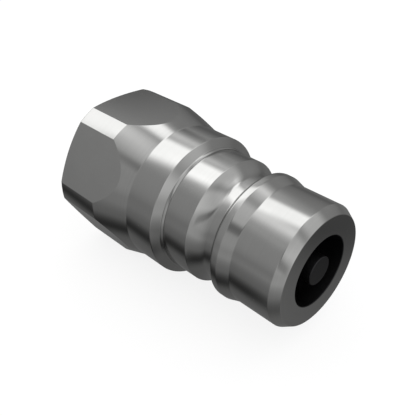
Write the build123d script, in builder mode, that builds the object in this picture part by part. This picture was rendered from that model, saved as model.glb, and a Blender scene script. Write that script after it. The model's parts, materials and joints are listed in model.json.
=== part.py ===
"""Male half of a hydraulic quick coupler of the 1/2 in size. All sizes are in millimetres.

The axis runs along +X. The threaded port opens towards -X in the end face at x = 0, and the nose points to +X.
The hexagon has one flat on top and one below. An adapter with the hexagon and the port is screwed to the probe
body, and the valve, its spring and its guide are held between them. The valve is modelled shut.
"""

import os
from math import radians, tan

from build123d import *

# Adapter, outside
across_flats = 27.0
corner_diameter = 29.4
end_face_width = 1.3
end_chamfer_length = 1.65
hexagon_length = 11.25
cone_length = 6.85
barrel_diameter = 25.65
barrel_length = 6.1
shoulder_length = 1.0
lip_diameter = 22.75
lip_length = 0.35

# Adapter, inside. The port's G 1/2 thread has its true pitch, depth and flanks, drawn as rings instead of a helix
port_minor_diameter = 18.63
thread_pitch = 1.814
thread_depth = 1.1625
thread_flank_angle = 27.5
thread_turns = 7
thread_tool_spare = 0.15
relief_length = 1.302
relief_clearance = 0.15
mouth_clearance = 0.2225
web_bore_diameter = 14.6
web_thickness = 1.6

# Screwed joint between adapter and probe body, its M22 x 1 thread drawn at the pitch diameter
joint_pitch_diameter = 21.4
joint_clearance = 0.04
pilot_length = 1.0
seat_gap = 0.05
spigot_diameter = 20.8
spigot_length = 4.0
spigot_chamfer = 0.3
ring_groove_depth = 1.4
ring_groove_width = 2.9
ring_groove_inset = 0.6

# Probe body
locking_diameter = 22.3
locking_length = 5.15
neck_diameter = 18.7
groove_width = 5.2
sweep_radius = 5.0
wall_run = 0.87
wall_foot_radius = 0.45
collar_edge_diameter = 21.7
collar_edge_length = 0.55
collar_length = 0.95
collar_cone_length = 2.1
nose_diameter = 20.95
nose_length = 7.55
tip_face_diameter = 18.95
tip_chamfer_length = 1.55
nose_bore_diameter = 12.15
nose_bore_depth = 7.2
chamber_diameter = 15.6

# Rings of the screwed joint
o_ring_width = 1.8
backup_ring_width = 1.0
ring_clearance = 0.01
ring_corner_share = 0.45

# Valve guide
guide_thickness = 1.6
guide_clearance = 0.02
hub_diameter = 7.6
hub_length = 8.8
hub_edge = 0.4
window_diameter = 14.4
spoke_count = 4
spoke_width = 2.4
spoke_overlap = 1.0
stem_clearance = 0.05

# Valve
valve_travel = 5.5
stop_clearance = 0.1
stem_diameter = 4.0
stem_engagement = 4.8
stem_edge = 0.4
stop_diameter = 6.4
boss_diameter = 8.6
boss_length = 1.5
disc_diameter = 13.2
disc_thickness = 1.8
disc_edge = 0.3
stud_diameter = 3.5
stud_length = 3.2
stud_clearance = 0.03
stud_hole_spare = 0.4
seal_diameter = 14.0
seal_bore_diameter = 9.2
seal_thickness = 1.6
seal_squeeze_gap = 0.03
seal_bevel_share = 0.5
head_diameter = 12.0
head_land = 0.35
head_neck_diameter = 8.2
pin_diameter = 4.9
pin_blend_radius = 1.8
pin_edge = 0.25
tip_recess = 0.1

# Return spring
spring_wire = 1.3
spring_coil_diameter = 10.3
spring_turns = 7
spring_end_gap = 0.02

# The port, worked out from the sizes above
port_minor_radius = port_minor_diameter / 2
port_major_radius = port_minor_radius + thread_depth
port_mouth_radius = port_major_radius + mouth_clearance
relief_radius = port_major_radius + relief_clearance
relief_start = thread_turns * thread_pitch
port_depth = relief_start + relief_length

# Places along the axis, worked out from the sizes above
cone_start = hexagon_length
barrel_start = cone_start + cone_length
shoulder_start = barrel_start + barrel_length
lip_start = shoulder_start + shoulder_length
adapter_front = lip_start + lip_length
guide_start = port_depth + web_thickness
guide_front = guide_start + guide_thickness
hub_front = guide_start + hub_length
spigot_start = guide_front
joint_start = spigot_start + spigot_length
pilot_start = adapter_front - pilot_length
groove_start = adapter_front + locking_length
collar_edge_start = groove_start + groove_width
collar_start = collar_edge_start + collar_edge_length
collar_cone_start = collar_start + collar_length
nose_start = collar_cone_start + collar_cone_length
tip_start = nose_start + nose_length
nose_face = tip_start + tip_chamfer_length
seat_front = nose_face - nose_bore_depth
seat_back = seat_front - (chamber_diameter - nose_bore_diameter) / 2

# The valve's places follow the seat, whose cone is 45 degrees. The seal's front corner lies against it
seal_front_radius = head_diameter / 2 + (1 - seal_bevel_share) * (seal_diameter - head_diameter) / 2
seal_corner = seat_front - (seal_diameter - nose_bore_diameter) / 2 - seal_squeeze_gap
seal_front = seal_corner + seal_diameter / 2 - seal_front_radius
seal_back = seal_front - seal_thickness
disc_back = seal_back - disc_thickness
boss_back = disc_back - boss_length
stop_back = hub_front + valve_travel + stop_clearance
stem_back = hub_front - stem_engagement
stud_front = seal_back + stud_length
pin_front = nose_face - tip_recess

os.makedirs("parts", exist_ok=True)

# Adapter: turned inside and out, then milled to a hexagon whose corners keep the round
with BuildPart() as adapter:
    with BuildSketch(Plane.XY):
        with BuildLine():
            Polyline(
                (0, port_mouth_radius),
                (0, port_mouth_radius + end_face_width),
                (end_chamfer_length, corner_diameter / 2),
                (cone_start, corner_diameter / 2),
                (barrel_start, barrel_diameter / 2),
                (shoulder_start, barrel_diameter / 2),
                (lip_start, lip_diameter / 2),
                (adapter_front, lip_diameter / 2),
                (adapter_front, locking_diameter / 2 + joint_clearance),
                (pilot_start, locking_diameter / 2 + joint_clearance),
                (pilot_start, joint_pitch_diameter / 2 + joint_clearance),
                (joint_start, joint_pitch_diameter / 2 + joint_clearance),
                (joint_start, spigot_diameter / 2 + joint_clearance),
                (guide_start, spigot_diameter / 2 + joint_clearance),
                (guide_start, web_bore_diameter / 2),
                (port_depth, web_bore_diameter / 2),
                (port_depth, relief_radius),
                (relief_start, relief_radius),
                (relief_start, port_minor_radius),
                (port_mouth_radius - port_minor_radius, port_minor_radius),
                close=True,
            )
        make_face()
    revolve(axis=Axis.X)
    with BuildSketch(Plane.YZ):
        RegularPolygon(radius=across_flats / 2, side_count=6, major_radius=False)
    extrude(amount=adapter_front, mode=Mode.INTERSECT)

    # Thread grooves of the port
    flank_slope = tan(radians(thread_flank_angle))
    root_half = thread_pitch / 4 - thread_depth / 2 * flank_slope
    inner_half = thread_pitch / 4 + (thread_depth / 2 + thread_tool_spare) * flank_slope
    with BuildSketch(Plane.XY):
        for turn in range(thread_turns):
            with BuildLine(Plane((thread_pitch * (turn + 0.5), 0, 0))):
                Polyline(
                    (-inner_half, port_minor_radius - thread_tool_spare),
                    (inner_half, port_minor_radius - thread_tool_spare),
                    (root_half, port_major_radius),
                    (-root_half, port_major_radius),
                    close=True,
                )
            make_face()
    revolve(axis=Axis.X, mode=Mode.SUBTRACT)
adapter.part.label = "adapter"
export_step(adapter.part, "parts/adapter.step")

# Probe body: spigot, joint thread, locking groove with its swept side, collar, nose and the valve's chamber
with BuildPart() as probe_body:
    ring_groove_start = spigot_start + ring_groove_inset
    ring_groove_end = ring_groove_start + ring_groove_width
    ring_groove_radius = spigot_diameter / 2 - ring_groove_depth
    neck_radius = neck_diameter / 2
    sweep_depth = locking_diameter / 2 - neck_radius
    sweep_run = (2 * sweep_radius * sweep_depth - sweep_depth**2) ** 0.5
    wall_foot = collar_edge_start - wall_run
    with BuildSketch(Plane.XY) as probe_section:
        with BuildLine():
            Polyline(
                (spigot_start, chamber_diameter / 2),
                (spigot_start, spigot_diameter / 2 - spigot_chamfer),
                (spigot_start + spigot_chamfer, spigot_diameter / 2),
                (ring_groove_start, spigot_diameter / 2),
                (ring_groove_start, ring_groove_radius),
                (ring_groove_end, ring_groove_radius),
                (ring_groove_end, spigot_diameter / 2),
                (joint_start + seat_gap, spigot_diameter / 2),
                (joint_start + seat_gap, joint_pitch_diameter / 2),
                (pilot_start + seat_gap, joint_pitch_diameter / 2),
                (pilot_start + seat_gap, locking_diameter / 2),
                (groove_start, locking_diameter / 2),
            )
            TangentArc(
                (groove_start + sweep_run, neck_radius),
                (groove_start, locking_diameter / 2),
                tangent=(-1, 0),
            )
            Polyline(
                (groove_start + sweep_run, neck_radius),
                (wall_foot, neck_radius),
                (collar_edge_start, collar_edge_diameter / 2),
                (collar_start, locking_diameter / 2),
                (collar_cone_start, locking_diameter / 2),
                (nose_start, nose_diameter / 2),
                (tip_start, nose_diameter / 2),
                (nose_face, tip_face_diameter / 2),
                (nose_face, nose_bore_diameter / 2),
                (seat_front, nose_bore_diameter / 2),
                (seat_back, chamber_diameter / 2),
                (spigot_start, chamber_diameter / 2),
            )
        make_face()
        fillet(probe_section.vertices().sort_by_distance((wall_foot, neck_radius))[0], wall_foot_radius)
    revolve(axis=Axis.X)
probe_body.part.label = "probe_body"
export_step(probe_body.part, "parts/probe_body.step")

# O-ring of the joint, drawn as it lies squeezed between its groove and the adapter
ring_inner = ring_groove_radius + ring_clearance
ring_outer = spigot_diameter / 2 + joint_clearance - ring_clearance
ring_height = ring_outer - ring_inner
with BuildPart() as body_o_ring:
    with BuildSketch(Plane.XY):
        with Locations((ring_groove_start + ring_clearance + o_ring_width / 2, (ring_inner + ring_outer) / 2)):
            RectangleRounded(o_ring_width, ring_height, ring_corner_share * min(o_ring_width, ring_height))
    revolve(axis=Axis.X)
body_o_ring.part.label = "body_o_ring"
export_step(body_o_ring.part, "parts/body_o_ring.step")

# Back-up ring on the thread's side of the O-ring
with BuildPart() as body_backup_ring:
    with BuildSketch(Plane.XY):
        with Locations((ring_groove_end - ring_clearance - backup_ring_width / 2, (ring_inner + ring_outer) / 2)):
            Rectangle(backup_ring_width, ring_height)
    revolve(axis=Axis.X)
body_backup_ring.part.label = "body_backup_ring"
export_step(body_backup_ring.part, "parts/body_backup_ring.step")

# Valve guide: a flange held between web and spigot, spokes, and a hub for the stem
with BuildPart() as valve_guide:
    guide_radius = spigot_diameter / 2 + joint_clearance - guide_clearance
    with BuildSketch(Plane.YZ.offset(guide_start)):
        Circle(guide_radius)
        Circle(window_diameter / 2, mode=Mode.SUBTRACT)
        with PolarLocations(0, spoke_count):
            Rectangle(window_diameter / 2 + spoke_overlap, spoke_width, align=(Align.MIN, Align.CENTER))
        Circle(hub_diameter / 2)
    extrude(amount=guide_thickness)
    with BuildSketch(Plane.YZ.offset(guide_front)):
        Circle(hub_diameter / 2)
    extrude(amount=hub_length - guide_thickness)
    chamfer(valve_guide.faces().sort_by(Axis.X)[-1].edges(), hub_edge)
    with Locations(Plane.YZ.offset(guide_start)):
        Hole(stem_diameter / 2 + stem_clearance)
valve_guide.part.label = "valve_guide"
export_step(valve_guide.part, "parts/valve_guide.step")

# Rear half of the valve: guided stem, stop shoulder, spring boss, disc and the stud that the head screws on
with BuildPart() as poppet_stem:
    with BuildSketch(Plane.XY):
        with BuildLine():
            Polyline(
                (stem_back, 0),
                (stem_back, stem_diameter / 2 - stem_edge),
                (stem_back + stem_edge, stem_diameter / 2),
                (stop_back, stem_diameter / 2),
                (stop_back, stop_diameter / 2),
                (boss_back, stop_diameter / 2),
                (boss_back, boss_diameter / 2),
                (disc_back, boss_diameter / 2),
                (disc_back, disc_diameter / 2 - disc_edge),
                (disc_back + disc_edge, disc_diameter / 2),
                (seal_back, disc_diameter / 2),
                (seal_back, stud_diameter / 2),
                (stud_front, stud_diameter / 2),
                (stud_front, 0),
                close=True,
            )
        make_face()
    revolve(axis=Axis.X)
poppet_stem.part.label = "poppet_stem"
export_step(poppet_stem.part, "parts/poppet_stem.step")

# Seal ring, its front corner cut to the angle of the seat
with BuildPart() as poppet_seal:
    with BuildSketch(Plane.XY):
        with BuildLine():
            Polyline(
                (seal_back, seal_bore_diameter / 2),
                (seal_back, seal_diameter / 2),
                (seal_corner, seal_diameter / 2),
                (seal_front, seal_front_radius),
                (seal_front, seal_bore_diameter / 2),
                close=True,
            )
        make_face()
    revolve(axis=Axis.X)
poppet_seal.part.label = "poppet_seal"
export_step(poppet_seal.part, "parts/poppet_seal.step")

# Front half of the valve: the neck through the seal, the cone and the pin that the other coupler half pushes
with BuildPart() as poppet_head:
    cone_top = seal_front + head_land
    cone_foot = cone_top + (head_diameter - head_neck_diameter) / 2
    blend_rise = head_neck_diameter / 2 - pin_diameter / 2
    blend_run = (2 * pin_blend_radius * blend_rise - blend_rise**2) ** 0.5
    with BuildSketch(Plane.XY):
        with BuildLine():
            Polyline(
                (cone_foot + blend_run, pin_diameter / 2),
                (pin_front - pin_edge, pin_diameter / 2),
                (pin_front, pin_diameter / 2 - pin_edge),
                (pin_front, 0),
                (stud_front + stud_hole_spare, 0),
                (stud_front + stud_hole_spare, stud_diameter / 2 + stud_clearance),
                (seal_back, stud_diameter / 2 + stud_clearance),
                (seal_back, seal_bore_diameter / 2 - stud_clearance),
                (seal_front, seal_bore_diameter / 2 - stud_clearance),
                (seal_front, head_diameter / 2),
                (cone_top, head_diameter / 2),
                (cone_foot, head_neck_diameter / 2),
            )
            TangentArc(
                (cone_foot + blend_run, pin_diameter / 2),
                (cone_foot, head_neck_diameter / 2),
                tangent=(-1, 0),
            )
        make_face()
    revolve(axis=Axis.X)
poppet_head.part.label = "poppet_head"
export_step(poppet_head.part, "parts/poppet_head.step")

# Return spring: one helix between the guide and the disc, both ends ground flat
with BuildPart() as return_spring:
    spring_start = guide_front + spring_end_gap
    spring_end = disc_back - spring_end_gap
    coil_radius = spring_coil_diameter / 2
    helix_height = spring_end - spring_start
    with BuildLine():
        coil = Helix(
            pitch=helix_height / spring_turns,
            height=helix_height,
            radius=coil_radius,
            center=(spring_start, 0, 0),
            direction=(1, 0, 0),
        )
    with BuildSketch(Plane(origin=coil @ 0, z_dir=coil % 0)):
        Circle(spring_wire / 2)
    sweep()
    with BuildSketch(Plane.YZ.offset(spring_start)):
        Circle(spring_coil_diameter)
    extrude(amount=helix_height, mode=Mode.INTERSECT)
return_spring.part.label = "return_spring"
export_step(return_spring.part, "parts/return_spring.step")
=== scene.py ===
"""Male half of a hydraulic quick coupler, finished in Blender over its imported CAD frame.

Lengths are in metres, and the frame is the CAD's: the axis runs along +X from the hexagon's end face to the nose,
one flat of the hexagon faces up and one lies on the floor.
"""

import json
import math

import bpy
from mathutils import Matrix, Vector


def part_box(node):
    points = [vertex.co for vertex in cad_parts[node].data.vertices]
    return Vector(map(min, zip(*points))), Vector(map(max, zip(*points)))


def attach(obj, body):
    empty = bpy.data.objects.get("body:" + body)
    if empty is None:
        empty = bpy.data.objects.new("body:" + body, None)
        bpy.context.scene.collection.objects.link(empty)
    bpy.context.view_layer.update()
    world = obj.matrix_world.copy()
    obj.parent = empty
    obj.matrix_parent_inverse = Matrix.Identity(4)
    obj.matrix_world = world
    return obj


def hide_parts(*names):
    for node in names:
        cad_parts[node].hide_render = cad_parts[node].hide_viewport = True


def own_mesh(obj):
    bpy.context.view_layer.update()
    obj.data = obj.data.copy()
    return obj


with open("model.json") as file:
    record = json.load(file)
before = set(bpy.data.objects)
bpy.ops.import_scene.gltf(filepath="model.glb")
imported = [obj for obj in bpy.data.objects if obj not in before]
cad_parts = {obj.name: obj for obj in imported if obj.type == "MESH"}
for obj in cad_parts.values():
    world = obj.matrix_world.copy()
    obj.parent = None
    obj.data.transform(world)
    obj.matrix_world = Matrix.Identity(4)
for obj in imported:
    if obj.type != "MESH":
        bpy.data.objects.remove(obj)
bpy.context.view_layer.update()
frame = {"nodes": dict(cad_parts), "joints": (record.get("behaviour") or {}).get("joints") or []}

MM = 0.001

# Corners of the CAD pieces' boxes. They give the places and radii that a finished piece takes from its CAD piece
ADAPTER_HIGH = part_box("adapter")[1]
PROBE_LOW, PROBE_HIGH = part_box("probe_body")
GUIDE_LOW, GUIDE_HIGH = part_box("valve_guide")
HEAD_LOW, HEAD_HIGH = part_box("poppet_head")
STEM_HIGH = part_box("poppet_stem")[1]
SEAL_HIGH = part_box("poppet_seal")[1]
SPRING_LOW, SPRING_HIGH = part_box("return_spring")

# Adapter, outside
HEXAGON_SIDES = 6
FLAT_DISTANCE = ADAPTER_HIGH.z
CORNER_RADIUS = ADAPTER_HIGH.y
END_FACE_RADIUS = 12.0 * MM
END_CHAMFER = 1.65 * MM
HEXAGON_END = 11.25 * MM
CONE_END = 18.1 * MM
BARREL_RADIUS = 12.825 * MM
BARREL_END = 24.2 * MM
SHOULDER_END = 25.0 * MM
LIP_RADIUS = 11.375 * MM
LIP_CHAMFER = 0.35 * MM
LIP_EDGE = 0.03 * MM
ADAPTER_END = ADAPTER_HIGH.x

# Adapter, inside: the port's G 1/2 thread, the web, and the bore of the screwed joint
THREAD_PITCH = 1.814 * MM
THREAD_MINOR_RADIUS = 9.315 * MM
THREAD_MAJOR_RADIUS = 10.4775 * MM
THREAD_HALF_ANGLE = math.radians(27.5)
THREAD_CREST_ROUND = 0.16 * MM
THREAD_CREST_STEPS = 3
THREAD_ROOT_DEPTH = 0.1 * MM
THREAD_TURNS = 9
THREAD_STEPS = 72
PRESSED_DEPTH = 0.025 * MM
PRESSED_SHARE = 0.05
PORT_MOUTH_RADIUS = 10.7 * MM
PORT_DEPTH = 14.0 * MM
RELIEF_START = 12.698 * MM
RELIEF_RADIUS = 10.6275 * MM
WEB_BORE_RADIUS = 7.3 * MM
WEB_END = 15.6 * MM
JOINT_CLEARANCE = 0.006 * MM
JOINT_THREAD_RADIUS = 10.7 * MM
JOINT_START = 21.2 * MM
PILOT_START = 24.55 * MM

# Probe body. The groove's sweep ends in a blend to the neck, and SWEEP_KEPT of its points lie before that blend
LOCKING_RADIUS = PROBE_HIGH.y
SPIGOT_RADIUS = 10.4 * MM
SPIGOT_CHAMFER = 0.3 * MM
RING_GROOVE_START = 17.8 * MM
RING_GROOVE_END = 20.7 * MM
RING_GROOVE_RADIUS = 9.0 * MM
SEAT_GAP = 0.05 * MM
GROOVE_START = 30.7 * MM
NECK_RADIUS = 9.6 * MM
SWEEP_RADIUS = 5.0 * MM
SWEEP_FLOOR_RADIUS = 9.35 * MM
SWEEP_STEPS = 20
SWEEP_KEPT = 16
NECK_BLEND_RADIUS = 2.5 * MM
NECK_BLEND_STEPS = 8
WALL_RUN = 0.87 * MM
WALL_FOOT_RADIUS = 0.45 * MM
WALL_FOOT_STEPS = 6
WALL_TOP = 35.9 * MM
WALL_TOP_RADIUS = 10.85 * MM
COLLAR_EDGE_ROUND = 0.62 * MM
COLLAR_EDGE_STEPS = 10
COLLAR_END = 37.4 * MM
NOSE_RADIUS = 10.475 * MM
NOSE_START = 39.5 * MM
TIP_START = 47.05 * MM
TIP_RADIUS = 9.475 * MM
NOSE_FACE = PROBE_HIGH.x
NOSE_BORE_RADIUS = 6.075 * MM
SEAT_FRONT = 41.4 * MM
CHAMBER_RADIUS = 7.8 * MM

# Valve head and its pin
PIN_RADIUS = 2.45 * MM
PIN_EDGE = 0.1 * MM
PIN_BLEND_RADIUS = 1.8 * MM
PIN_BLEND_STEPS = 12
HEAD_RADIUS = HEAD_HIGH.y
HEAD_LAND = 0.35 * MM
HEAD_NECK_RADIUS = 4.1 * MM
HEAD_SEAL_RADIUS = 4.57 * MM
STUD_HOLE_RADIUS = 1.78 * MM
STUD_HOLE_SPARE = 0.4 * MM

# Valve guide
GUIDE_RADIUS = GUIDE_HIGH.y
GUIDE_THICKNESS = 1.6 * MM
WINDOW_RADIUS = 7.2 * MM
HUB_RADIUS = 3.8 * MM
HUB_EDGE = 0.4 * MM
STEM_BORE_RADIUS = 2.05 * MM
SPOKE_WIDTH = 2.4 * MM
SPOKE_COUNT = 4
SPOKE_OVERLAP = 0.5 * MM

# Return spring: its end turns lie closed and are ground flat
SPRING_LENGTH = SPRING_HIGH.x - SPRING_LOW.x
WIRE_RADIUS = 0.65 * MM
COIL_RADIUS = SPRING_HIGH.y - WIRE_RADIUS
END_TURNS = 1.0
ACTIVE_TURNS = 5.5
GROUND_DEPTH = 0.45 * MM
SPRING_STEPS = 48
WIRE_SIDES = 16

# Fineness of the meshes
TURN_SEGMENTS = 256
EDGE_BREAK = 0.11 * MM
FINE_EDGE_BREAK = 0.05 * MM
EDGE_STEPS = 3
SIDE_SHARE = 0.42
MERGE_DISTANCE = 0.002 * MM
CUT_THRESHOLD = 0.0001 * MM
FLAT_ANGLE = math.radians(1)
SHARP_ANGLE = math.radians(12)
SMOOTH_ANGLE = math.radians(35)
SAME_WAY = 0.9999


def deselect():
    """Nothing stays selected, in object mode."""
    if bpy.context.object and bpy.context.object.mode == "EDIT":
        bpy.ops.object.mode_set(mode="OBJECT")
    bpy.ops.object.select_all(action="DESELECT")


def select(piece):
    """Only this piece is selected, and it is the active one."""
    deselect()
    piece.select_set(True)
    bpy.context.view_layer.objects.active = piece


def edit(piece):
    """Opens a piece for editing with nothing in it selected."""
    select(piece)
    bpy.ops.object.mode_set(mode="EDIT")
    bpy.ops.mesh.select_mode(type="VERT")
    bpy.ops.mesh.select_all(action="DESELECT")


def pick(piece, kind, chosen):
    """Opens a piece for editing with those of its edges or faces selected that chosen picks."""
    edit(piece)
    bpy.ops.mesh.select_mode(type=kind)
    bpy.ops.object.mode_set(mode="OBJECT")
    for item in piece.data.edges if kind == "EDGE" else piece.data.polygons:
        item.select = chosen(item)
    bpy.ops.object.mode_set(mode="EDIT")


def add_modifier(piece, kind, **settings):
    """Adds a modifier, sets it and applies it."""
    select(piece)
    modifier = piece.modifiers.new(kind.lower(), kind)
    for name, value in settings.items():
        setattr(modifier, name, value)
    bpy.ops.object.modifier_apply(modifier=modifier.name)


def place_in_mesh(piece):
    """The piece's place goes into its mesh, and its object stays at the origin."""
    select(piece)
    bpy.ops.object.transform_apply(location=True, rotation=True, scale=True)


def shade_smooth(piece):
    """Shades a piece smooth over its small angles."""
    select(piece)
    bpy.ops.object.shade_smooth_by_angle(angle=SMOOTH_ANGLE)


def shade(piece, crisp=None):
    """Shades a piece smooth with its broad faces kept flat. The borders of the faces that crisp picks stay sharp."""
    shade_smooth(piece)
    if crisp:
        borders = set()
        for face in piece.data.polygons:
            if crisp(face):
                borders ^= set(face.edge_keys)
        pick(piece, "EDGE", lambda edge: tuple(sorted(edge.vertices)) in borders)
        bpy.ops.mesh.mark_sharp()
        bpy.ops.object.mode_set(mode="OBJECT")
    add_modifier(piece, "WEIGHTED_NORMAL", keep_sharp=True)


def turned(name, outline, closed=True, edge_break=EDGE_BREAK):
    """A piece turned about the X axis: a ring is drawn out through each (x, radius) of its outline.

    A closed outline ends where it starts. An open one has a flat end at both of its points.
    """
    if edge_break:
        outline = soften(outline, closed, edge_break)
    deselect()
    x, radius = outline[0]
    bpy.ops.mesh.primitive_circle_add(
        vertices=TURN_SEGMENTS, radius=radius, location=(x, 0, 0), rotation=(0, math.pi / 2, 0)
    )
    piece = bpy.context.object
    piece.name = name
    bpy.ops.object.mode_set(mode="EDIT")
    bpy.ops.mesh.select_mode(type="VERT")
    bpy.ops.mesh.select_all(action="SELECT")
    if not closed:
        bpy.ops.mesh.edge_face_add()
        bpy.ops.mesh.select_all(action="SELECT")
    for next_x, next_radius in outline[1:] + (outline[:1] if closed else []):
        bpy.ops.mesh.extrude_region_move(TRANSFORM_OT_translate={"value": (next_x - x, 0, 0)})
        share = next_radius / radius
        bpy.ops.transform.resize(value=(1, share, share), center_override=(next_x, 0, 0))
        x, radius = next_x, next_radius
    bpy.ops.mesh.select_all(action="SELECT")
    bpy.ops.mesh.remove_doubles(threshold=MERGE_DISTANCE)
    bpy.ops.mesh.normals_make_consistent(inside=False)
    bpy.ops.object.mode_set(mode="OBJECT")
    place_in_mesh(piece)
    return piece


def arc(centre, radius, start, end, steps):
    """Points of (x, radius) along an arc, from the angle start to the angle end, both included."""
    points = []
    for step in range(steps + 1):
        angle = start + (end - start) * step / steps
        points.append((centre[0] + radius * math.cos(angle), centre[1] + radius * math.sin(angle)))
    return points


def corner_arc(before, corner, after, radius, steps):
    """Points that round a corner of an outline by an arc tangent to both of its lines."""
    corner = Vector(corner)
    first = (Vector(before) - corner).normalized()
    second = (Vector(after) - corner).normalized()
    half = first.angle(second) / 2
    centre = corner + (first + second).normalized() * radius / math.sin(half)
    foot = corner + first * radius / math.tan(half)
    other_foot = corner + second * radius / math.tan(half)
    start = math.atan2(*(foot - centre).yx)
    end = math.atan2(*(other_foot - centre).yx)
    if end - start > math.pi:
        end -= 2 * math.pi
    if start - end > math.pi:
        end += 2 * math.pi
    return arc(centre, radius, start, end, steps)


def soften(outline, closed, edge_break):
    """Breaks each sharp corner of an outline by a small arc, which takes no more than its share of a short side."""
    points = []
    for number, corner in enumerate(outline):
        before = outline[number - 1] if closed or number else (corner[0], 0)
        after = outline[(number + 1) % len(outline)] if closed or number < len(outline) - 1 else (corner[0], 0)
        first, second = Vector(before) - Vector(corner), Vector(after) - Vector(corner)
        half = first.angle(second) / 2
        if math.pi - 2 * half < SHARP_ANGLE:
            points.append(corner)
            continue
        run = min(edge_break, SIDE_SHARE * first.length, SIDE_SHARE * second.length)
        points += corner_arc(before, corner, after, run * math.tan(half), EDGE_STEPS)
    return points


def cut(piece, point, normal):
    """Cuts away what lies on the normal's side of a plane and closes the cut."""
    edit(piece)
    bpy.ops.mesh.select_all(action="SELECT")
    bpy.ops.mesh.bisect(
        plane_co=point, plane_no=normal, use_fill=True, clear_outer=True, threshold=CUT_THRESHOLD
    )
    bpy.ops.object.mode_set(mode="OBJECT")


def hexagon_normals():
    """The directions that the six flats face, the first one up."""
    turns = [math.radians(360 / HEXAGON_SIDES * number) for number in range(HEXAGON_SIDES)]
    return [Vector((0, math.sin(turn), math.cos(turn))) for turn in turns]


def is_flat_of_hexagon(face):
    return any(face.normal.dot(normal) > SAME_WAY for normal in hexagon_normals()) and face.center.x < CONE_END


def make_port_thread():
    """The port's thread: a ridge of 55 degrees, swept along its helix and faded out in the mouth's countersink."""
    height = THREAD_MAJOR_RADIUS - THREAD_MINOR_RADIUS
    root_half = THREAD_PITCH / 4 + height / 2 * math.tan(THREAD_HALF_ANGLE)
    crest_half = THREAD_PITCH / 4 - height / 2 * math.tan(THREAD_HALF_ANGLE)
    first_turn = -THREAD_PITCH
    deselect()
    bpy.ops.mesh.primitive_plane_add(
        size=1, location=(first_turn, 0, THREAD_MAJOR_RADIUS + THREAD_ROOT_DEPTH / 2), rotation=(math.pi / 2, 0, 0)
    )
    thread = bpy.context.object
    thread.name = "port_thread"
    thread.scale = (2 * root_half, THREAD_ROOT_DEPTH, 1)
    place_in_mesh(thread)

    # The lower edge of the section is drawn inwards to the crest, whose two corners are rounded
    foot = THREAD_MAJOR_RADIUS + MERGE_DISTANCE
    pick(thread, "EDGE", lambda edge: all(thread.data.vertices[v].co.z < foot for v in edge.vertices))
    bpy.ops.mesh.extrude_region_move(TRANSFORM_OT_translate={"value": (0, 0, -height)})
    share = crest_half / root_half
    bpy.ops.transform.resize(value=(share, 1, 1), center_override=(first_turn, 0, THREAD_MINOR_RADIUS))
    bpy.ops.mesh.bevel(offset=THREAD_CREST_ROUND, segments=THREAD_CREST_STEPS, affect="VERTICES")
    bpy.ops.mesh.select_all(action="SELECT")
    bpy.ops.mesh.dissolve_limited(angle_limit=FLAT_ANGLE)
    bpy.ops.mesh.select_mode(type="VERT")
    bpy.ops.mesh.select_all(action="SELECT")
    bpy.ops.mesh.delete(type="ONLY_FACE")
    bpy.ops.object.mode_set(mode="OBJECT")
    add_modifier(
        thread,
        "SCREW",
        axis="X",
        angle=2 * math.pi,
        screw_offset=THREAD_PITCH,
        iterations=THREAD_TURNS,
        steps=THREAD_STEPS,
        render_steps=THREAD_STEPS,
        use_merge_vertices=False,
        use_smooth_shade=True,
    )

    # The helix gets its end faces, and is cut off at the relief and just behind the port's mouth
    edit(thread)
    bpy.ops.mesh.select_non_manifold()
    bpy.ops.mesh.fill()
    bpy.ops.mesh.select_all(action="SELECT")
    bpy.ops.mesh.normals_make_consistent(inside=False)
    bpy.ops.object.mode_set(mode="OBJECT")
    cut(thread, (RELIEF_START, 0, 0), (1, 0, 0))
    cut(thread, (THREAD_ROOT_DEPTH, 0, 0), (-1, 0, 0))

    # What reaches into the countersink is pressed under its wall, to a thin skin that keeps the ridge's order
    countersink_end = PORT_MOUTH_RADIUS - THREAD_MINOR_RADIUS
    for vertex in thread.data.vertices:
        radius = vertex.co.yz.length
        wall = PORT_MOUTH_RADIUS - vertex.co.x + PRESSED_DEPTH
        pressed = wall + (radius - THREAD_MINOR_RADIUS) * PRESSED_SHARE
        if vertex.co.x < countersink_end and radius < pressed:
            vertex.co.yz *= pressed / radius
    shade_smooth(thread)
    return thread


def make_adapter():
    """Adapter: turned inside and out, milled to a hexagon, with the port's thread cut in."""
    countersink_end = PORT_MOUTH_RADIUS - THREAD_MAJOR_RADIUS
    pilot_radius = LOCKING_RADIUS + JOINT_CLEARANCE
    outline = [
        (0, PORT_MOUTH_RADIUS),
        (0, END_FACE_RADIUS),
        (END_CHAMFER, CORNER_RADIUS),
        (HEXAGON_END, CORNER_RADIUS),
        (CONE_END, BARREL_RADIUS),
        (BARREL_END, BARREL_RADIUS),
        (SHOULDER_END, LIP_RADIUS),
        (ADAPTER_END - LIP_CHAMFER, LIP_RADIUS),
        (ADAPTER_END, pilot_radius + LIP_EDGE),
        (ADAPTER_END - LIP_EDGE, pilot_radius),
        (PILOT_START, pilot_radius),
        (PILOT_START, JOINT_THREAD_RADIUS + JOINT_CLEARANCE),
        (JOINT_START, JOINT_THREAD_RADIUS + JOINT_CLEARANCE),
        (JOINT_START, SPIGOT_RADIUS + JOINT_CLEARANCE),
        (WEB_END, SPIGOT_RADIUS + JOINT_CLEARANCE),
        (WEB_END, WEB_BORE_RADIUS),
        (PORT_DEPTH, WEB_BORE_RADIUS),
        (PORT_DEPTH, RELIEF_RADIUS),
        (RELIEF_START, RELIEF_RADIUS),
        (RELIEF_START, THREAD_MAJOR_RADIUS),
        (countersink_end, THREAD_MAJOR_RADIUS),
    ]
    adapter = turned("adapter_body", outline)
    for normal in hexagon_normals():
        cut(adapter, FLAT_DISTANCE * normal, normal)
    shade(adapter, crisp=is_flat_of_hexagon)
    thread = make_port_thread()
    select(adapter)
    thread.select_set(True)
    bpy.ops.object.join()
    return adapter


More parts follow.
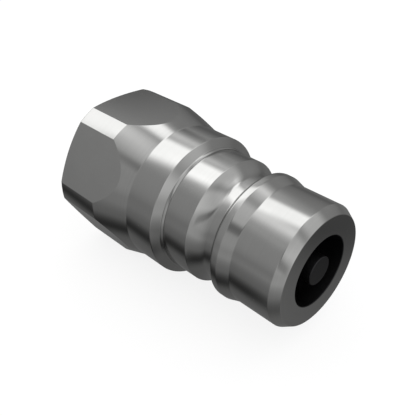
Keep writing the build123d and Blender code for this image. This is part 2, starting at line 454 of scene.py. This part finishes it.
def make_probe_body():
    """Probe body: locking barrel, swept groove, collar, nose, and the valve's chamber behind its seat."""
    sweep_depth = LOCKING_RADIUS - SWEEP_FLOOR_RADIUS
    sweep_run = math.sqrt(2 * SWEEP_RADIUS * sweep_depth - sweep_depth**2)
    centre = (GROOVE_START + sweep_run, SWEEP_FLOOR_RADIUS + SWEEP_RADIUS)
    start, end = (
        math.pi + math.asin((centre[1] - radius) / SWEEP_RADIUS) for radius in (LOCKING_RADIUS, NECK_RADIUS)
    )
    sweep = arc(centre, SWEEP_RADIUS, start, end, SWEEP_STEPS)
    neck_start = sweep[-1]
    sweep = sweep[:SWEEP_KEPT]
    wall_foot = (WALL_TOP - WALL_RUN, NECK_RADIUS)
    wall_slope = WALL_RUN / (WALL_TOP_RADIUS - NECK_RADIUS)
    collar_edge = (WALL_TOP + (LOCKING_RADIUS - WALL_TOP_RADIUS) * wall_slope, LOCKING_RADIUS)
    collar_end = (COLLAR_END, LOCKING_RADIUS)
    outline = [
        (PROBE_LOW.x, CHAMBER_RADIUS),
        (PROBE_LOW.x, SPIGOT_RADIUS - SPIGOT_CHAMFER),
        (PROBE_LOW.x + SPIGOT_CHAMFER, SPIGOT_RADIUS),
        (RING_GROOVE_START, SPIGOT_RADIUS),
        (RING_GROOVE_START, RING_GROOVE_RADIUS),
        (RING_GROOVE_END, RING_GROOVE_RADIUS),
        (RING_GROOVE_END, SPIGOT_RADIUS),
        (JOINT_START + SEAT_GAP, SPIGOT_RADIUS),
        (JOINT_START + SEAT_GAP, JOINT_THREAD_RADIUS),
        (PILOT_START + SEAT_GAP, JOINT_THREAD_RADIUS),
        (PILOT_START + SEAT_GAP, LOCKING_RADIUS),
        *sweep,
        *corner_arc(sweep[-1], neck_start, wall_foot, NECK_BLEND_RADIUS, NECK_BLEND_STEPS),
        *corner_arc(neck_start, wall_foot, collar_edge, WALL_FOOT_RADIUS, WALL_FOOT_STEPS),
        *corner_arc(wall_foot, collar_edge, collar_end, COLLAR_EDGE_ROUND, COLLAR_EDGE_STEPS),
        collar_end,
        (NOSE_START, NOSE_RADIUS),
        (TIP_START, NOSE_RADIUS),
        (NOSE_FACE, TIP_RADIUS),
        (NOSE_FACE, NOSE_BORE_RADIUS),
        (SEAT_FRONT, NOSE_BORE_RADIUS),
        (SEAT_FRONT - (CHAMBER_RADIUS - NOSE_BORE_RADIUS), CHAMBER_RADIUS),
    ]
    probe = turned("probe_turned", outline)
    shade(probe)
    return probe


def make_poppet_head():
    """Front half of the valve: sealing land, cone, and the pin that blends into it."""
    cone_top = SEAL_HIGH.x + HEAD_LAND
    cone_foot = cone_top + (HEAD_RADIUS - HEAD_NECK_RADIUS)
    blend_rise = HEAD_NECK_RADIUS - PIN_RADIUS
    blend_run = math.sqrt(2 * PIN_BLEND_RADIUS * blend_rise - blend_rise**2)
    blend_centre = (cone_foot + blend_run, PIN_RADIUS + PIN_BLEND_RADIUS)
    blend_angle = math.pi + math.asin((PIN_BLEND_RADIUS - blend_rise) / PIN_BLEND_RADIUS)
    outline = [
        (HEAD_HIGH.x, PIN_RADIUS - PIN_EDGE),
        (HEAD_HIGH.x - PIN_EDGE, PIN_RADIUS),
        *arc(blend_centre, PIN_BLEND_RADIUS, 1.5 * math.pi, blend_angle, PIN_BLEND_STEPS),
        (cone_top, HEAD_RADIUS),
        (SEAL_HIGH.x, HEAD_RADIUS),
        (SEAL_HIGH.x, HEAD_SEAL_RADIUS),
        (HEAD_LOW.x, HEAD_SEAL_RADIUS),
        (HEAD_LOW.x, STUD_HOLE_RADIUS),
        (STEM_HIGH.x + STUD_HOLE_SPARE, STUD_HOLE_RADIUS),
    ]
    head = turned("valve_head", outline, closed=False, edge_break=FINE_EDGE_BREAK)
    shade(head)
    return head


def make_valve_guide():
    """Valve guide: a clamped flange, spokes and a hub that carries the stem."""
    flange_end = GUIDE_LOW.x + GUIDE_THICKNESS
    flange_outline = [
        (GUIDE_LOW.x, WINDOW_RADIUS),
        (GUIDE_LOW.x, GUIDE_RADIUS),
        (flange_end, GUIDE_RADIUS),
        (flange_end, WINDOW_RADIUS),
    ]
    hub_outline = [
        (GUIDE_LOW.x, STEM_BORE_RADIUS),
        (GUIDE_LOW.x, HUB_RADIUS),
        (GUIDE_HIGH.x - HUB_EDGE, HUB_RADIUS),
        (GUIDE_HIGH.x, HUB_RADIUS - HUB_EDGE),
        (GUIDE_HIGH.x, STEM_BORE_RADIUS),
    ]
    guide = turned("guide_spider", flange_outline, edge_break=None)
    members = [turned("hub", hub_outline, edge_break=None)]
    inner, outer = HUB_RADIUS - SPOKE_OVERLAP, WINDOW_RADIUS + SPOKE_OVERLAP
    middle = (inner + outer) / 2
    for number in range(SPOKE_COUNT):
        turn = math.radians(90 + 360 / SPOKE_COUNT * number)
        deselect()
        bpy.ops.mesh.primitive_cube_add(
            size=1,
            location=(GUIDE_LOW.x + GUIDE_THICKNESS / 2, middle * math.cos(turn), middle * math.sin(turn)),
            rotation=(turn, 0, 0),
        )
        spoke = bpy.context.object
        spoke.scale = (GUIDE_THICKNESS, outer - inner, SPOKE_WIDTH)
        place_in_mesh(spoke)
        members.append(spoke)
    for member in members:
        add_modifier(guide, "BOOLEAN", operation="UNION", solver="EXACT", object=member)
        bpy.data.objects.remove(member, do_unlink=True)
    add_modifier(
        guide,
        "BEVEL",
        width=FINE_EDGE_BREAK,
        segments=EDGE_STEPS,
        limit_method="ANGLE",
        angle_limit=SHARP_ANGLE,
        use_clamp_overlap=False,
    )
    shade(guide)
    return guide


def make_return_spring():
    """Return spring: a wire drawn round the axis, closed at both ends and ground flat there."""
    closed_rise = 2 * WIRE_RADIUS
    active_length = SPRING_LENGTH + 2 * GROUND_DEPTH - closed_rise - 2 * END_TURNS * closed_rise
    deselect()
    bpy.ops.mesh.primitive_circle_add(
        vertices=WIRE_SIDES,
        radius=WIRE_RADIUS,
        fill_type="NGON",
        location=(SPRING_LOW.x + WIRE_RADIUS - GROUND_DEPTH, 0, COIL_RADIUS),
        rotation=(math.pi / 2, 0, 0),
    )
    spring = bpy.context.object
    spring.name = "spring_coil"
    bpy.ops.object.mode_set(mode="EDIT")
    bpy.ops.mesh.select_all(action="SELECT")
    for step in range(round((2 * END_TURNS + ACTIVE_TURNS) * SPRING_STEPS)):
        is_active = END_TURNS <= step / SPRING_STEPS < END_TURNS + ACTIVE_TURNS
        rise = active_length / ACTIVE_TURNS if is_active else closed_rise
        bpy.ops.mesh.extrude_region_move(TRANSFORM_OT_translate={"value": (rise / SPRING_STEPS, 0, 0)})
        bpy.ops.transform.rotate(value=-2 * math.pi / SPRING_STEPS, orient_axis="X", center_override=(0, 0, 0))
    bpy.ops.mesh.select_all(action="SELECT")
    bpy.ops.mesh.normals_make_consistent(inside=False)
    bpy.ops.object.mode_set(mode="OBJECT")
    place_in_mesh(spring)
    cut(spring, (SPRING_LOW.x, 0, 0), (-1, 0, 0))
    cut(spring, (SPRING_HIGH.x, 0, 0), (1, 0, 0))
    shade_smooth(spring)
    return spring


class Socket:
    """A node's output. Python's operators on it add Math nodes."""

    def __init__(self, finish, output):
        self.finish = finish
        self.output = output

    def math(self, operation, first, second):
        return self.finish.node("ShaderNodeMath", {"operation": operation}, {0: first, 1: second})

    def __add__(self, other):
        return self.math("ADD", self, other)

    __radd__ = __add__

    def __sub__(self, other):
        return self.math("SUBTRACT", self, other)

    def __rsub__(self, other):
        return self.math("SUBTRACT", other, self)

    def __mul__(self, other):
        return self.math("MULTIPLY", self, other)

    __rmul__ = __mul__

    def __truediv__(self, other):
        return self.math("DIVIDE", self, other)

    def __pow__(self, other):
        return self.math("POWER", self, other)


class Finish:
    """A material, or the world, and the nodes that make its finish."""

    def __init__(self, name, world=False):
        self.data = bpy.data.worlds.new(name) if world else bpy.data.materials.new(name)
        self.data.use_nodes = True
        self.tree = self.data.node_tree
        self.tree.nodes.clear()

    def node(self, kind, settings=None, values=None, output=0):
        """Adds one node: its settings are set first, then the values or links of its sockets."""
        node = self.tree.nodes.new(kind)
        for name, value in (settings or {}).items():
            if name == "stops":
                self.set_stops(node.color_ramp, value)
            else:
                setattr(node, name, value)
        for name, value in (values or {}).items():
            if isinstance(value, Socket):
                self.tree.links.new(value.output, node.inputs[name])
            else:
                node.inputs[name].default_value = value
        return Socket(self, node.outputs[output]) if node.outputs else node

    @staticmethod
    def set_stops(ramp, stops):
        """Sets a ramp's stops from (place, grey)."""
        while len(ramp.elements) < len(stops):
            ramp.elements.new(1.0)
        for element, (place, grey) in zip(ramp.elements, stops):
            element.position = place
            element.color = (grey, grey, grey, 1)

    def place(self):
        """The object's own coordinates."""
        return self.node("ShaderNodeTexCoord", output="Object")

    def axes(self, vector):
        """The X, Y and Z of a vector."""
        return [self.node("ShaderNodeSeparateXYZ", {}, {0: vector}, output=axis) for axis in "XYZ"]

    def vector(self, x, y, z):
        return self.node("ShaderNodeCombineXYZ", {}, {"X": x, "Y": y, "Z": z})

    def noise(self, place, scale=1.0, detail=3.0, roughness=0.6):
        """Noise from 0 to 1 at a place, with about as many features per metre as its scale."""
        return self.node(
            "ShaderNodeTexNoise",
            {"noise_dimensions": "3D"},
            {"Vector": place, "Scale": scale, "Detail": detail, "Roughness": roughness},
        )

    def mix(self, share, first, second):
        """A colour between two colours."""
        return self.node(
            "ShaderNodeMix",
            {"data_type": "RGBA", "blend_type": "MIX"},
            {0: share, 6: (*first, 1), 7: (*second, 1)},
            output=2,
        )

    def bump(self, height, depth):
        """A normal from a height of 0 to 1 that stands for a depth in metres."""
        return self.node("ShaderNodeBump", {}, {"Strength": 1.0, "Distance": depth, "Height": height})

    def surface(self, **values):
        """The finished surface. Names in values are the sockets', with spaces as underscores."""
        inputs = {name.replace("_", " "): value for name, value in values.items()}
        shader = self.node("ShaderNodeBsdfPrincipled", {}, inputs)
        self.node("ShaderNodeOutputMaterial", {}, {"Surface": shader})
        return self.data

    def glow(self, level):
        """The material only gives off its level, and isn't sampled as a lamp."""
        light = self.node("ShaderNodeEmission", {}, {"Color": WHITE, "Strength": level})
        self.node("ShaderNodeOutputMaterial", {}, {"Surface": light})
        self.data.cycles.emission_sampling = "NONE"
        return self.data


WHITE = (1, 1, 1, 1)

# Patterns of the finishes, in features per metre
RING_FEED = 3600.0
BLACK_RING_FEED = 5200.0
RING_WANDER = 90.0
LINE_FEED = 4200.0
LINE_RUN = 60.0
TURNED_CLOUDS = 260.0
DRAWN_CLOUDS = 210.0
BLACK_CLOUDS = 420.0
WIRE_MOTTLES = 900.0
MOULD_GRAINS = 2600.0

# Share of the radius in a ring's place, which draws rings on end faces and cones too, and how far a ring strays
RADIUS_SHARE = 0.63
RING_STRAY = 0.35

# How far the cloud and the marks tint a plated colour, and how deep the tint is in each finish
TURNED_CLOUD_SHARE, TURNED_RING_SHARE, TURNED_TINT = 0.3, 0.6, 0.84
DRAWN_CLOUD_SHARE, DRAWN_LINE_SHARE, DRAWN_TINT = 0.5, 0.3, 0.86
BLACK_CLOUD_SHARE, BLACK_TINT = 0.6, 1.5
WIRE_TINT = 0.6
MOULD_TINT = 1.35

# How far the patterns change the roughness
CLOUD_SPREAD = 0.05
MARK_SPREAD = 0.06
SPREAD_MIDDLE = 0.05
BLACK_SPREAD = 0.1
WIRE_SPREAD = 0.12
GRAIN_SPREAD = 0.1


def tinted(colour, share):
    """A colour with all its channels taken at one share."""
    return tuple(channel * share for channel in colour)


def length(x, y):
    """Length of the line from 0 to x and y."""
    return (x * x + y * y) ** 0.5


def tool_rings(finish, feed):
    """Fine rings left by the turning tool: they follow X on round faces and the radius on end faces."""
    x, y, z = finish.axes(finish.place())
    along = x + length(y, z) * RADIUS_SHARE
    stray = finish.noise(finish.place(), RING_WANDER, detail=1.0, roughness=0.5) * RING_STRAY
    return finish.noise(finish.vector(along * feed, stray, 0.0), roughness=0.7)


def plated_turned(name, colour, roughness, depth):
    """Bright plating over turned steel: rings of the tool, and a faint cloud in the plating."""
    finish = Finish(name)
    rings = tool_rings(finish, RING_FEED)
    cloud = finish.noise(finish.place(), TURNED_CLOUDS)
    share = cloud * TURNED_CLOUD_SHARE + rings * TURNED_RING_SHARE
    return finish.surface(
        Base_Color=finish.mix(share, colour, tinted(colour, TURNED_TINT)),
        Metallic=1.0,
        Roughness=roughness + cloud * CLOUD_SPREAD + rings * MARK_SPREAD - SPREAD_MIDDLE,
        Normal=finish.bump(rings, depth),
    )


def plated_drawn(name, colour, roughness, depth):
    """Bright plating over drawn hexagon bar: faint lines along the bar."""
    finish = Finish(name)
    x, y, z = finish.axes(finish.place())
    lines = finish.noise(finish.vector(x * LINE_RUN, y * LINE_FEED, z * LINE_FEED))
    cloud = finish.noise(finish.place(), DRAWN_CLOUDS)
    share = cloud * DRAWN_CLOUD_SHARE + lines * DRAWN_LINE_SHARE
    return finish.surface(
        Base_Color=finish.mix(share, colour, tinted(colour, DRAWN_TINT)),
        Metallic=1.0,
        Roughness=roughness + cloud * CLOUD_SPREAD + lines * MARK_SPREAD - SPREAD_MIDDLE,
        Normal=finish.bump(lines, depth),
    )


def dark_turned_steel(name, colour, roughness, depth):
    """Dark turned steel: a dark satin coat over the tool's rings, clouded a little paler. On the nose bore's wall it is
    painted shade.
    """
    finish = Finish(name)
    cloud = finish.noise(finish.place(), BLACK_CLOUDS, detail=4.0)
    return finish.surface(
        Base_Color=finish.mix(cloud * BLACK_CLOUD_SHARE, colour, tinted(colour, BLACK_TINT)),
        Metallic=1.0,
        Roughness=roughness + cloud * BLACK_SPREAD - SPREAD_MIDDLE,
        Normal=finish.bump(tool_rings(finish, BLACK_RING_FEED), depth),
    )


def spring_wire(name, colour, roughness, depth):
    """Drawn spring wire: satin, with a slightly mottled scale."""
    finish = Finish(name)
    mottle = finish.noise(finish.place(), WIRE_MOTTLES, detail=4.0, roughness=0.65)
    return finish.surface(
        Base_Color=finish.mix(mottle, colour, tinted(colour, WIRE_TINT)),
        Metallic=1.0,
        Roughness=roughness + mottle * WIRE_SPREAD,
        Normal=finish.bump(mottle, depth),
    )


def moulded(name, colour, roughness, depth):
    """Moulded rubber or plastic: one colour with a fine grain."""
    finish = Finish(name)
    grain = finish.noise(finish.place(), MOULD_GRAINS)
    return finish.surface(
        Base_Color=finish.mix(grain, colour, tinted(colour, MOULD_TINT)),
        Roughness=roughness + grain * GRAIN_SPREAD,
        Normal=finish.bump(grain, depth),
    )


STEEL = (0.49, 0.49, 0.482)
PLATED_TURNED = plated_turned("plated_turned_steel", STEEL, roughness=0.12, depth=0.0012 * MM)
PLATED_DRAWN = plated_drawn("plated_drawn_steel", STEEL, roughness=0.12, depth=0.0003 * MM)
GUIDE_STEEL = plated_turned("satin_guide_steel", (0.4, 0.4, 0.395), roughness=0.3, depth=0.0008 * MM)
# Dark steel of the valve. It also paints shade on the nose bore's wall
DARK_STEEL_AND_BORE_SHADE = dark_turned_steel("blackened_steel", (0.045, 0.045, 0.047), roughness=0.42, depth=0.0006 * MM)
WIRE_STEEL = spring_wire("spring_wire_steel", (0.36, 0.36, 0.37), roughness=0.26, depth=0.002 * MM)
BLACK_RUBBER = moulded("nitrile_rubber", (0.018, 0.018, 0.018), roughness=0.55, depth=0.004 * MM)
WHITE_RING = moulded("waxy_ring", (0.6, 0.59, 0.56), roughness=0.4, depth=0.002 * MM)


def dress(piece, material):
    """Gives every face of a piece one material."""
    piece.data.materials.clear()
    piece.data.materials.append(material)


def dress_faces(piece, material, chosen):
    """Gives a second material to the faces that chosen picks."""
    piece.data.materials.append(material)
    pick(piece, "FACE", chosen)
    piece.active_material_index = len(piece.data.materials) - 1
    bpy.ops.object.material_slot_assign()
    bpy.ops.object.mode_set(mode="OBJECT")


# Faces of the nose bore's wall and of the rounding at its mouth, which get painted shade
def is_in_nose_bore(face):
    return face.center.x > SEAT_FRONT and face.center.yz.length < NOSE_BORE_RADIUS + EDGE_BREAK


def seat(piece, body, slot, *nodes):
    """The piece rides on a body and stands for its CAD nodes, which are hidden. The slot is not used."""
    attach(piece, body)
    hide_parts(*nodes)


adapter = make_adapter()
dress(adapter, PLATED_TURNED)
dress_faces(adapter, PLATED_DRAWN, is_flat_of_hexagon)
seat(adapter, "coupler_body", "plated_steel", "adapter")

probe = make_probe_body()
dress(probe, PLATED_TURNED)
# The nose bore is painted dark as shade: its wall takes the dark steel in place of the plating
dress_faces(probe, DARK_STEEL_AND_BORE_SHADE, is_in_nose_bore)
seat(probe, "coupler_body", "plated_steel", "probe_body")

guide = make_valve_guide()
dress(guide, GUIDE_STEEL)
seat(guide, "coupler_body", "guide_steel", "valve_guide")

head = make_poppet_head()
dress(head, DARK_STEEL_AND_BORE_SHADE)
seat(head, "valve", "valve_steel", "poppet_head")

spring = make_return_spring()
dress(spring, WIRE_STEEL)
seat(spring, "coupler_body", "spring_steel", "return_spring")
travel = next(joint for joint in frame["joints"] if joint["name"] == "valve_slide")["range_m"][0]
(SPRING_LENGTH + travel) / SPRING_LENGTH
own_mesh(spring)

for node, material in {
    "poppet_stem": DARK_STEEL_AND_BORE_SHADE,
    "poppet_seal": BLACK_RUBBER,
    "body_o_ring": BLACK_RUBBER,
    "body_backup_ring": WHITE_RING,
}.items():
    for material_slot in frame["nodes"][node].material_slots:
        material_slot.material = material

# Camera, from the outline of the object in the photograph
CAMERA_PLACE = Vector((81.98, -57.53, 56.89)) * MM
CAMERA_AZIMUTH = math.radians(44.83)
CAMERA_ELEVATION = math.radians(35.04)
CAMERA_ROLL = math.radians(-0.21)
CAMERA_LENS = 48.93
CAMERA_SENSOR = 36
CAMERA_NEAR = 0.005
CAMERA_FAR = 20

deselect()
bpy.ops.object.camera_add()
camera = bpy.context.object
camera.name = "camera"
camera.matrix_world = (
    Matrix.Translation(CAMERA_PLACE)
    @ Matrix.Rotation(CAMERA_AZIMUTH, 4, "Z")
    @ Matrix.Rotation(math.pi / 2 - CAMERA_ELEVATION, 4, "X")
    @ Matrix.Rotation(CAMERA_ROLL, 4, "Z")
)
camera.data.lens = CAMERA_LENS
camera.data.sensor_width = CAMERA_SENSOR
camera.data.clip_start = CAMERA_NEAR
camera.data.clip_end = CAMERA_FAR
bpy.context.scene.camera = camera

# Floor: pale, with the object's shadow. Its lift is seen by the camera, and by metal and glass too
FLOOR_HEIGHT = -FLAT_DISTANCE
FLOOR_SIZE = 24.0
FLOOR_COLOUR = (0.22, 0.22, 0.22, 1)
FLOOR_LIFT = 0.82


def floor_material():
    finish = Finish("pale_floor")
    camera_ray, glossy_ray, transmission_ray = (
        finish.node("ShaderNodeLightPath", output=ray)
        for ray in ("Is Camera Ray", "Is Glossy Ray", "Is Transmission Ray")
    )
    seen = camera_ray + glossy_ray + transmission_ray
    lit = finish.node("ShaderNodeBsdfDiffuse", {}, {"Color": FLOOR_COLOUR})
    lift = finish.node("ShaderNodeEmission", {}, {"Color": WHITE, "Strength": seen * FLOOR_LIFT})
    both = finish.node("ShaderNodeAddShader", {}, {0: lit, 1: lift})
    finish.node("ShaderNodeOutputMaterial", {}, {"Surface": both})
    return finish.data


deselect()
bpy.ops.mesh.primitive_plane_add(size=FLOOR_SIZE, location=(0, 0, FLOOR_HEIGHT))
floor = bpy.context.object
floor.name = "floor"
dress(floor, floor_material())

# The studio shows only in reflections. It is a grey card on the floor, and a tent with softboxes over the object.
# All levels are plain emission, where 1 is white, and a pair of places or shares is where a change starts and ends

# The wall's level at the horizon, towards the port and towards the nose, in front of the object and behind it
FRONT_LEVELS = (0.28, 0.56)
FRONT_SHARES = (-0.75, 0.9)
BACK_LEVELS = (0.14, 0.23)
BACK_SHARES = (-0.6, 0.1)
AROUND_SHARES = (-0.3, 0.3)

# The card: its level near the object, a little higher in front and lower behind. Over its reach it becomes the wall's
CARD_LIFT = 0.02 * MM
CARD_MIDDLE = 24.0 * MM
CARD_NEAR = 0.15
CARD_REACH = (10.0 * MM, 98.0 * MM)
FRONT_LIFT = 0.01
FRONT_RUN = (5.0 * MM, -30.0 * MM)
BACK_DROP = 0.02
BACK_RUN = (5.0 * MM, 40.0 * MM)
BACK_END = (50.0 * MM, 5.0 * MM)

# A black strip on the card in front of the object, fainter towards the nose
STRIP_LEVEL = 0.04
STRIP_FAR = -37.0 * MM
STRIP_MIDDLE = -24.0 * MM
STRIP_NEAR = -17.0 * MM
STRIP_SLOPE = 0.168
STRIP_FADE = (34.0 * MM, 46.0 * MM)
STRIP_FADED = 0.45

# A dark flag on the card before the nose
FLAG_MIDDLE = (70.0 * MM, 31.0 * MM)
FLAG_RADIUS = 28.0 * MM
FLAG_CORE = 7.0 * MM
FLAG_DARK = 0.1

# The card's lift for faces that lean to the nose: by the +X share of their look at the card, and by the place on it
LEAN_LIFT = 0.12
LEAN_SHARES = (0.5, 0.66)
LEAN_END = (50.0 * MM, 38.0 * MM)

# The tent: what its height adds to the wall's level, and its softboxes. A softbox's corners are given in order, each as
# an angle about the X axis, from +Y up, and a share of +X. Then come the level that it adds and its edges' softness
TENT_RADIUS = 11.0
TENT_SEGMENTS = 64
TENT_RINGS = 32
TENT_LEVELS = [(0.0, 0.0), (0.2, 0.12), (0.5, 0.27), (0.8, 0.35), (1.0, 0.54)]
SOFTBOXES = [
    # key above and behind the hexagon, and a bright strip in it
    ([(78, -0.89), (61, -0.29), (79, -0.23), (128, -0.77)], 1.49, 0.08),
    ([(64, -0.71), (72, -0.53), (96, -0.45), (112, -0.55)], 0.16, 0.01),
    # pale ceiling behind the key
    ([(102, -0.8), (89, -0.17), (136, -0.5), (109, -0.57)], 0.59, 0.12),
    ([(90, -0.8), (105, -0.16), (141, -0.25), (116, -0.71)], 0.31, 0.22),
    # strip below the key, and the dark gap below it
    ([(58, -0.79), (30, -0.64), (56, -0.48), (67, -0.67)], 0.92, 0.22),
    ([(18, -0.77), (32, -0.59), (51, -0.56), (35, -0.83)], -0.4, 0.08),
    # broad softbox in front, towards the nose
    ([(98, -0.43), (103, 0.96), (172, 0.93), (134, -0.05)], 0.33, 0.13),
    # its other half, behind the object, with a bright middle
    ([(61, -0.46), (28, 0.82), (86, 0.9), (86, -0.01)], 0.43, 0.16),
    ([(61, -0.14), (59, 0.25), (73, 0.16), (71, -0.27)], 0.38, 0.11),
    # dark gap between the front softbox and the wall
    ([(120, -0.5), (161, 0.73), (177, 0.7), (150, 0)], -0.22, 0.07),
]


def between(finish, value, start, end):
    """A share that rises smoothly from 0 at the start to 1 at the end."""
    return finish.node(
        "ShaderNodeMapRange",
        {"interpolation_type": "SMOOTHSTEP"},
        {"Value": value, "From Min": start, "From Max": end},
    )


def wall_level(finish, x, y):
    """Level of the studio's wall in the direction of x and y."""
    reach = length(x, y)
    front, back = (
        between(finish, x / reach, *shares) * (levels[1] - levels[0]) + levels[0]
        for shares, levels in ((FRONT_SHARES, FRONT_LEVELS), (BACK_SHARES, BACK_LEVELS))
    )
    return front + between(finish, y / reach, *AROUND_SHARES) * (back - front)


def card_material():
    """Grey near the object and as pale as the wall far from it, with a black strip in front and a flag at the nose."""
    card = Finish("grey_card")
    x, y, _ = card.axes(card.place())
    from_middle = x - CARD_MIDDLE
    near = between(card, y, *FRONT_RUN) * FRONT_LIFT + CARD_NEAR
    near = near - between(card, y, *BACK_RUN) * between(card, x, *BACK_END) * BACK_DROP
    far = between(card, length(from_middle, y), *CARD_REACH)
    level = near + far * (wall_level(card, from_middle, y) - near)
    from_flag = length(x - FLAG_MIDDLE[0], y - FLAG_MIDDLE[1])
    level = level - between(card, from_flag, FLAG_RADIUS, FLAG_CORE) * FLAG_DARK
    across = y - x * STRIP_SLOPE
    strip = between(card, across, STRIP_FAR, STRIP_MIDDLE) * between(card, across, STRIP_NEAR, STRIP_MIDDLE)
    strip = strip * (1 - between(card, x, *STRIP_FADE) * (1 - STRIP_FADED))

    # Incoming points from the card back to the face that mirrors it. A face that leans to the nose looks along +X
    back_to_face, _, _ = card.axes(card.node("ShaderNodeNewGeometry", output="Incoming"))
    lean = between(card, back_to_face * -1.0, *LEAN_SHARES) * between(card, x, *LEAN_END)
    return card.glow(level * (1 - strip) + strip * STRIP_LEVEL + lean * LEAN_LIFT)


def tent_material():
    """The wall's level, paler towards the top, and the softboxes. Each of those is bounded by four soft edges."""
    tent = Finish("studio_tent")
    direction = tent.node("ShaderNodeVectorMath", {"operation": "NORMALIZE"}, {0: tent.place()})
    x, y, height = tent.axes(direction)
    level = tent.node("ShaderNodeValToRGB", {"stops": TENT_LEVELS}, {"Fac": height})
    level = level + wall_level(tent, x, y) * between(tent, height, 1.0, 0.0)
    for corners, strength, softness in SOFTBOXES:
        towards = []
        for turn, share in corners:
            turn, across = math.radians(turn), math.sqrt(1 - share**2)
            towards.append(Vector((share, across * math.cos(turn), across * math.sin(turn))))
        inside = strength
        for first, second in zip(towards, towards[1:] + towards[:1]):
            normal = second.cross(first).normalized()
            side = tent.node(
                "ShaderNodeVectorMath", {"operation": "DOT_PRODUCT"}, {0: direction, 1: normal}, output="Value"
            )
            inside = between(tent, side, -softness, softness) * inside
        level = level + inside
    return tent.glow(tent.node("ShaderNodeMath", {"operation": "MAXIMUM"}, {0: level, 1: 0.0}))


def show_in_reflections_only(thing):
    """The thing belongs to the studio, and only glossy rays meet it."""
    thing.visible_camera = False
    thing.visible_diffuse = False
    thing.visible_shadow = False
    thing.visible_transmission = False


deselect()
bpy.ops.mesh.primitive_plane_add(size=FLOOR_SIZE, location=(0, 0, FLOOR_HEIGHT + CARD_LIFT))
card = bpy.context.object
card.name = "grey_card"
place_in_mesh(card)
dress(card, card_material())
show_in_reflections_only(card)

deselect()
bpy.ops.mesh.primitive_uv_sphere_add(segments=TENT_SEGMENTS, ring_count=TENT_RINGS, radius=TENT_RADIUS)
tent = bpy.context.object
tent.name = "studio_tent"
dress(tent, tent_material())
show_in_reflections_only(tent)


def plain_world():
    """Even white light for all that isn't metal."""
    daylight = Finish("plain_light", world=True)
    background = daylight.node("ShaderNodeBackground", {}, {"Color": WHITE, "Strength": 1.0})
    daylight.node("ShaderNodeOutputWorld", {}, {"Surface": background})
    daylight.data.cycles_visibility.glossy = False
    return daylight.data


bpy.context.scene.world = plain_world()

bpy.context.scene.view_settings.view_transform = "Standard"
